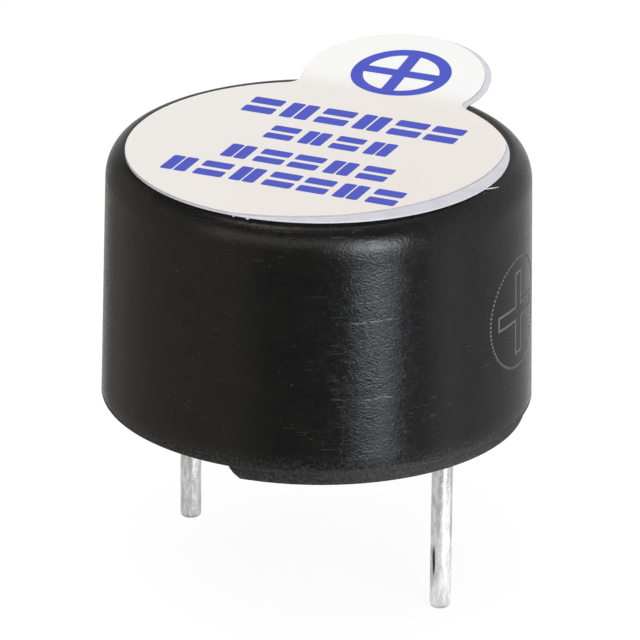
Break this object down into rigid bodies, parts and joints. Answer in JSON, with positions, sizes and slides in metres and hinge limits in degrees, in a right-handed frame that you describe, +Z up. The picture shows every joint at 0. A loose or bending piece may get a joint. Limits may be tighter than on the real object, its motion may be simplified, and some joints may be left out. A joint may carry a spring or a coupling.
{
  "type": "magnetic buzzer",
  "caption": "Round black through-hole magnetic buzzer with a white peel-off seal, unequal pins and a full magnetic drive inside.",
  "frame": {"origin": "centre of the seating plane under the feet, midway between the two pins", "axes": "+Z up through the sound hole, +X towards the positive (long) pin, +Y towards the seal's pull tab; the pins point along -Z"},
  "size_m": [0.012, 0.0142, 0.0138],
  "materials": {
    "case_black": "moulded black plastic, half gloss, fine texture and light scuffs",
    "label_white": "white coated film with blue print",
    "tinned_pin": "dull bright tin plating with dark streaks",
    "resin_black": "poured black casting resin",
    "board_laminate": "pale brown glass laminate",
    "copper": "bare copper foil",
    "solder": "dull bright solder",
    "chip_black": "black moulding compound",
    "tinned_lead": "matt tin plating",
    "resistor_body": "dark glazed film on ceramic",
    "plated_steel": "zinc plated soft iron",
    "enamelled_wire": "enamelled copper wire",
    "magnet_grey": "sintered ferrite",
    "ring_ivory": "moulded ivory plastic",
    "spring_steel": "rolled sheet steel",
    "weight_steel": "stamped soft iron"
  },
  "bodies": {
    "root": {"case": "case_black", "seal_label": "label_white", "positive_pin": "tinned_pin", "negative_pin": "tinned_pin", "resin": "resin_black", "circuit_board": "board_laminate", "board_copper": "copper", "solder_joints": "solder", "transistor": "chip_black", "transistor_leads": "tinned_lead", "diode": "chip_black", "diode_leads": "tinned_lead", "resistor": "resistor_body", "resistor_ends": "tinned_lead", "yoke_plate": "plated_steel", "core": "plated_steel", "coil": "enamelled_wire", "coil_leads": "enamelled_wire", "magnet_ring": "magnet_grey", "support_ring": "ring_ivory", "diaphragm": "spring_steel", "diaphragm_weight": "weight_steel"}
  },
  "joints": []
}
